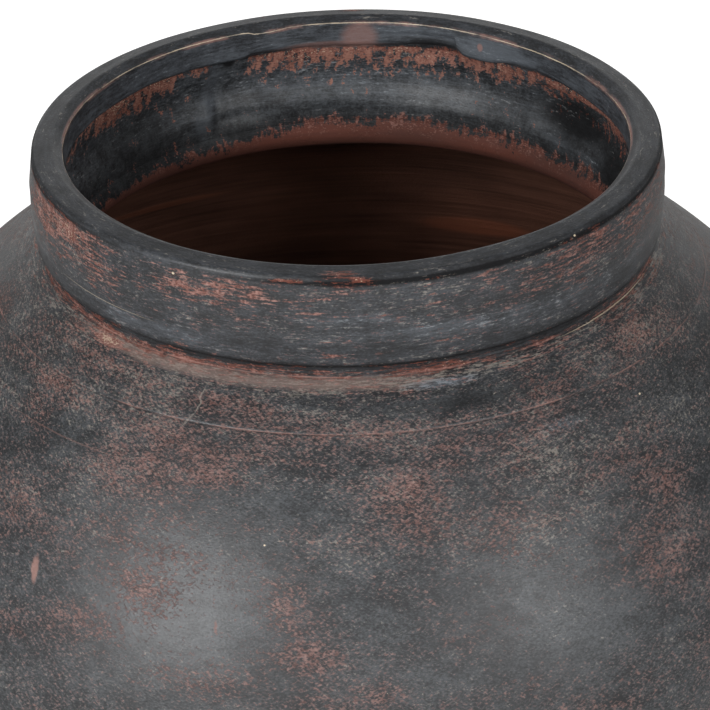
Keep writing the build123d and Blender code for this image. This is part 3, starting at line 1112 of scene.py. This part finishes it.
    # Worn edge inside the lip, the line scribed round the shoulder, the band's lower edge, and single marks
    # Each line has an outline distance, a half-width in millimetres, how far it shows, and a tint
    lines = (
        (marks.edge_mark, 1.6, shows(tree, patch, 0.45, 0.65, top=0.7), "clay"),
        (marks.edge_mark, 0.32, shows(tree, other_patch, 0.32, 0.62, top=0.75), "cream"),
        (marks.scribe_mark, 0.45, shows(tree, patch, 0.4, 0.65, top=0.6), "clay"),
        (marks.root_mark, 0.45, shows(tree, patch, 0.4, 0.65, top=0.6), "clay"),
    )
    for middle, half_width, amount, label in lines:
        line = stripe(tree, wavering, middle / MM, half_width, amount)
        surface = coats(tree, surface, (line, tint[label]))
    wander = gather(tree, ring, (smudge, 4.0), (fleck, 0.8))
    for way_round, table in ((wander, OUTER_MARKS), (back_ring, INNER_MARKS)):
        for along, down, half_length, half_height, strength, label, lean in table:
            spot = mark(tree, way_round, wavering, (along, down), (half_length, half_height), strength, lean)
            surface = coats(tree, surface, (spot, tint[label]))

    # Inside, the paint ends in a ragged edge at the foot of the neck, lower on the left
    ragged = gather(tree, depth, (other_patch, 10), (crumb, 26), (fleck, 5))
    lower_left = stripe(tree, back_ring, -95, 85, 6.0)
    ragged = add(tree, "ShaderNodeMath", ragged, lower_left, operation="SUBTRACT")
    bare = shows(tree, ragged, *PAINT_ENDS)
    speck = shows(tree, 0.15, 0.25, 0.6, (crumb, 2.0), (fleck, 1.6), top=0.6)
    speck = add(tree, "ShaderNodeMath", speck, shows(tree, outline, *CRUMBS), operation="MULTIPLY")
    clay_inside = clay_streaks(tree, place, outline, tint["red_clay"], tint["deep_clay"])
    clay_inside = coats(tree, clay_inside, (speck, tint["clay"]))
    tree.links.new(coats(tree, surface, (bare, clay_inside)), shader.inputs["Base Color"])

    # The paint has a soft sheen, bare clay hardly any, and the black paint and painted shade none
    matt = add(tree, "ShaderNodeMath", clay_shows, bare, operation="MAXIMUM")
    roughness = coats(tree, 0.42, (matt, 0.75), (dark_paint_and_shade_shows, 0.9), kind="FLOAT")
    tree.links.new(roughness, shader.inputs["Roughness"])
    tree.links.new(coats(tree, 0.5, (dark_paint_and_shade_shows, 0.1), kind="FLOAT"), shader.inputs["Specular IOR Level"])
    height = gather(tree, 0.0, (fleck, 0.5), (clay_stroke, 0.5), (grit, 0.3))
    height = add(tree, "ShaderNodeMath", height, clay_shows, operation="SUBTRACT")
    bump = add(tree, "ShaderNodeBump", named={"Height": height, "Distance": 0.14 * MM, "Strength": 1.0})
    tree.links.new(bump, shader.inputs["Normal"])
    return material


def bare_terracotta(context):
    """Bare fired clay inside the jar, streaked by trimming."""
    name = "Bare terracotta"
    if name in bpy.data.materials:
        return bpy.data.materials[name]
    # Fired clay with no glaze: red-brown, dull, ringed by the trimming tool, with a fine gritty tooth
    finish = context.scene.jar_finish
    material, tree, shader = new_material(name)
    place = add(tree, "ShaderNodeTexCoord", out="Object")
    outline = add(tree, "ShaderNodeAttribute", out="Fac", attribute_name="outline_mm")
    surface = clay_streaks(tree, place, outline, (*finish.inner_clay, 1), (*finish.inner_shade, 1))
    back_ring = ring_distances(tree, place)[1]
    # Painted light: glints and pools of light laid on as lighter warm clay
    for middle, half_size, strength in PAINTED_GLINTS:
        glow = mark(tree, back_ring, outline, middle, half_size, strength)
        surface = coats(tree, surface, (glow, (*finish.painted_glint_clay, 1)))
    tree.links.new(surface, shader.inputs["Base Color"])
    trimmed = grain(tree, place, outline, *TRIMMING)
    grit = grain(tree, place, outline, 1.5, 1.2, 2.0, 17.0)
    tree.links.new(gather(tree, 0.8, (trimmed, 0.3), (grit, 0.1)), shader.inputs["Roughness"])
    height = gather(tree, 0.0, (trimmed, 1.0), (grit, 0.4))
    bump = add(tree, "ShaderNodeBump", named={"Height": height, "Distance": 0.4 * MM, "Strength": 1.0})
    tree.links.new(bump, shader.inputs["Normal"])
    shader.inputs["Specular IOR Level"].default_value = 0.3
    return material


class JAR_OT_rim(bpy.types.Operator):
    """Shapes the flat-topped lip and folds it down inside the collar"""

    bl_idname = "jar.rim"
    bl_label = "Rim"

    def execute(self, context):
        sizes = context.scene.jar_sizes
        section = closed_section(Outline(sizes), "rim", 0, sizes.collar_seam)
        thrown_piece(context, "rim", section)
        return {"FINISHED"}


class JAR_OT_collar(bpy.types.Operator):
    """Sets the upright collar on the shoulder"""

    bl_idname = "jar.collar"
    bl_label = "Collar"

    def execute(self, context):
        sizes = context.scene.jar_sizes
        section = closed_section(Outline(sizes), "neck_collar", sizes.collar_seam, sizes.collar_seam)
        thrown_piece(context, "neck_collar", section)
        return {"FINISHED"}


class JAR_OT_body(bpy.types.Operator):
    """Builds the shoulder, the lower body and the base"""

    bl_idname = "jar.body"
    bl_label = "Body"

    def execute(self, context):
        sizes = context.scene.jar_sizes
        outline = Outline(sizes)
        for node, top_seam in (("shoulder", sizes.collar_seam), ("lower_body", sizes.body_seam)):
            section = closed_section(outline, node, top_seam, sizes.body_seam)
            thrown_piece(context, node, section, outline.bore_end)
        outer = outline.outer["base_disc"]
        inner = outline.inner["base_disc"]
        section = list(reversed(inner)) + [seam_middle(outer[0], inner[0], sizes.body_seam)] + outer
        thrown_piece(context, "base_disc", section, outline.bore_end, closed=False)
        return {"FINISHED"}


class JAR_OT_seam_rolls(bpy.types.Operator):
    """Presses the rolls of clay into the inside of the seams"""

    bl_idname = "jar.seam_rolls"
    bl_label = "Seam rolls"

    def execute(self, context):
        sizes = context.scene.jar_sizes
        outline = Outline(sizes)
        step = 0.8 * MM
        upper_wall = (outline.upper_centre, outline.upper_swell - sizes.wall)
        lower_wall = (outline.lower_centre, outline.lower_swell - sizes.wall)

        bore_corner = (outline.bore_r, outline.bore_foot)
        neck_r = outline.bore_r + sizes.neck_coil - sizes.neck_coil_proud
        neck = (neck_r, outline.bore_foot - sizes.neck_coil_drop)
        rise = math.sqrt(sizes.neck_coil ** 2 - (neck[0] - outline.bore_r) ** 2)
        top = (outline.bore_r, neck[1] + rise)
        foot = max(circles_meet(neck, sizes.neck_coil, *upper_wall), key=lambda p: p[0])
        inward = (neck[0] - sizes.neck_coil, neck[1])
        low = (neck[0], neck[1] - sizes.neck_coil)
        face = chain(arc(neck, foot, low, step), arc(neck, low, inward, step), arc(neck, inward, top, step))
        back = chain([top, bore_corner], arc(outline.upper_centre, bore_corner, foot, step))
        self.press(context, outline, "neck_seam_coil", face, back)

        corner = (sizes.belly_radius - sizes.wall, sizes.belly_height)
        over = max(circles_meet(corner, sizes.belly_coil, *upper_wall), key=lambda p: p[1])
        under = min(circles_meet(corner, sizes.belly_coil, *lower_wall), key=lambda p: p[1])
        inward = (corner[0] - sizes.belly_coil, corner[1])
        face = chain(arc(corner, under, inward, step), arc(corner, inward, over, step))
        self.press(context, outline, "belly_seam_coil", face, [over, corner, under])

        corner = (outline.inner_foot_r, sizes.base_thickness)
        over = max(circles_meet(corner, sizes.base_coil, *lower_wall), key=lambda p: p[1])
        floor = (corner[0] - sizes.base_coil, corner[1])
        face = arc(corner, floor, over, step)
        self.press(context, outline, "base_seam_coil", face, [over, corner, floor])
        return {"FINISHED"}

    @staticmethod
    def press(context, outline, node, face, back):
        """Makes one roll from the face that shows and the back that lies on the walls."""
        wall = [p for run in outline.inner.values() for p in run]
        measured = []
        travelled = min(wall, key=lambda p: math.dist(p[:2], face[-1]))[2]
        before = face[-1]
        for point in reversed(face):
            travelled -= math.dist(before, point)
            measured.insert(0, (*point, travelled))
            before = point
        for point in back[1:-1]:
            measured.append((*point, min(wall, key=lambda p: math.dist(p[:2], point))[2]))
        inside_from = NOWHERE if node == "neck_seam_coil" else outline.bore_end
        thrown_piece(context, node, measured, inside_from)


class JAR_OT_stage(bpy.types.Operator):
    """Sets the floor, the soft light and the camera"""

    bl_idname = "jar.stage"
    bl_label = "Stage"

    def execute(self, context):
        stage = context.scene.jar_stage
        sizes = context.scene.jar_sizes
        self.floor(context, stage)
        self.light(context, stage)
        self.camera(context, stage, Vector((0, 0, sizes.height + stage.mouth_lift)))
        context.scene.view_settings.view_transform = "Standard"
        return {"FINISHED"}

    @staticmethod
    def floor(context, stage):
        """A wide pale floor that the camera sees as white, with the jar's soft shadow left on it."""
        mesh = bpy.data.meshes.new("floor")
        reach = 6
        corners = [(-reach, -reach, 0), (reach, -reach, 0), (reach, reach, 0), (-reach, reach, 0)]
        mesh.from_pydata(corners, [], [(0, 1, 2, 3)])
        ground = bpy.data.objects.new("floor", mesh)
        context.scene.collection.objects.link(ground)
        material, tree, shader = new_material("Matt studio floor")
        shader.inputs["Base Color"].default_value = (*stage.floor, 1)
        shader.inputs["Roughness"].default_value = 0.9
        shader.inputs["Emission Color"].default_value = (1, 1, 1, 1)
        seen = add(tree, "ShaderNodeLightPath", out="Is Camera Ray")
        tree.links.new(shows(tree, seen, 0.0, 1.0, top=0.7), shader.inputs["Emission Strength"])
        mesh.materials.append(material)

    @staticmethod
    def light(context, stage):
        """Two soft boxes and a low panel in front, a pale panel behind and a dim white room."""
        world = bpy.data.worlds.new("White room")
        context.scene.world = world
        world.use_nodes = True
        tree = world.node_tree
        background = tree.nodes["Background"]
        seen = add(tree, "ShaderNodeLightPath", out="Is Camera Ray")
        level = add(tree, "ShaderNodeMix", seen, stage.room, 1.0, data_type="FLOAT")
        tree.links.new(level, background.inputs["Strength"])
        background.inputs["Color"].default_value = (1, 1, 1, 1)
        # Every lamp faces the jar's axis at the shoulder. Name, place, width and height in metres, and power
        target = Vector((0, 0, 0.38))
        boxes = (
            ("left_softbox", (-1.04, -1.24, 1.16), (0.7, 0.8), stage.softbox * 1.35),
            ("right_softbox", (1.0, -1.28, 1.15), (0.6, 0.8), stage.softbox * 0.67),
            ("front_panel", (0.1, -1.97, 0.72), (0.9, 0.5), stage.softbox * 0.26),
            ("back_panel", (0.0, 2.0, 0.8), (3.0, 1.0), stage.backdrop),
        )
        for name, place, (width, tall), power in boxes:
            lamp = bpy.data.lights.new(name, "AREA")
            lamp.shape = "RECTANGLE"
            lamp.size = width
            lamp.size_y = tall
            lamp.energy = power
            holder = bpy.data.objects.new(name, lamp)
            holder.location = place
            holder.rotation_euler = (target - Vector(place)).to_track_quat("-Z", "Y").to_euler()
            holder.visible_camera = False
            context.scene.collection.objects.link(holder)

    @staticmethod
    def camera(context, stage, mouth):
        """A camera that puts the middle of the mouth where the photograph has it."""
        back = Vector((0, -math.cos(stage.elevation), math.sin(stage.elevation)))
        right = Vector((1, 0, 0))
        up = back.cross(right)
        centre = IMAGE_SIZE / 2
        aim = Vector((stage.mouth_x - centre, centre - stage.mouth_y)) / stage.focal_pixels
        aim.rotate(Matrix.Rotation(stage.roll, 2))
        tilt = math.atan(aim.y)
        pan = math.atan(aim.x * math.cos(tilt))
        axes = Matrix((right, up, back)).transposed()
        for angle, axis in ((-tilt, "X"), (pan, "Y"), (stage.roll, "Z")):
            axes = axes @ Matrix.Rotation(angle, 3, axis)
        lens = bpy.data.cameras.new("camera")
        lens.sensor_width = 36
        lens.lens = stage.focal_pixels / IMAGE_SIZE * lens.sensor_width
        holder = bpy.data.objects.new("camera", lens)
        holder.matrix_world = Matrix.Translation(mouth + stage.distance * back) @ axes.to_4x4()
        context.scene.collection.objects.link(holder)
        context.scene.camera = holder


class JAR_PT_panel(bpy.types.Panel):
    """Lists the jar's sizes, finishes and builders"""

    bl_idname = "JAR_PT_panel"
    bl_label = "Terracotta jar"
    bl_space_type = "VIEW_3D"
    bl_region_type = "UI"
    bl_category = "Jar"

    def draw(self, context):
        layout = self.layout
        for operator in OPERATORS:
            layout.operator(operator.bl_idname)
        for name in GROUPS:
            group = getattr(context.scene, name)
            box = layout.box()
            for label in group.__annotations__:
                box.prop(group, label)


GROUPS = {
    "jar_sizes": JarSizes,
    "jar_handwork": JarHandwork,
    "jar_finish": JarFinish,
    "jar_stage": JarStage,
}
OPERATORS = (JAR_OT_rim, JAR_OT_collar, JAR_OT_body, JAR_OT_seam_rolls, JAR_OT_stage)


def register():
    """Adds the jar's classes and properties."""
    for kind in (*GROUPS.values(), *OPERATORS, JAR_PT_panel):
        bpy.utils.register_class(kind)
    for name, kind in GROUPS.items():
        setattr(bpy.types.Scene, name, bpy.props.PointerProperty(type=kind))


def unregister():
    """Takes them away again."""
    for name in GROUPS:
        delattr(bpy.types.Scene, name)
    for kind in (JAR_PT_panel, *reversed(OPERATORS), *reversed(GROUPS.values())):
        bpy.utils.unregister_class(kind)


def main():
    """Builds the jar and its stage."""
    register()
    bpy.ops.jar.rim()
    bpy.ops.jar.collar()
    bpy.ops.jar.body()
    bpy.ops.jar.seam_rolls()
    bpy.ops.jar.stage()


if __name__ == "__main__":
    main()
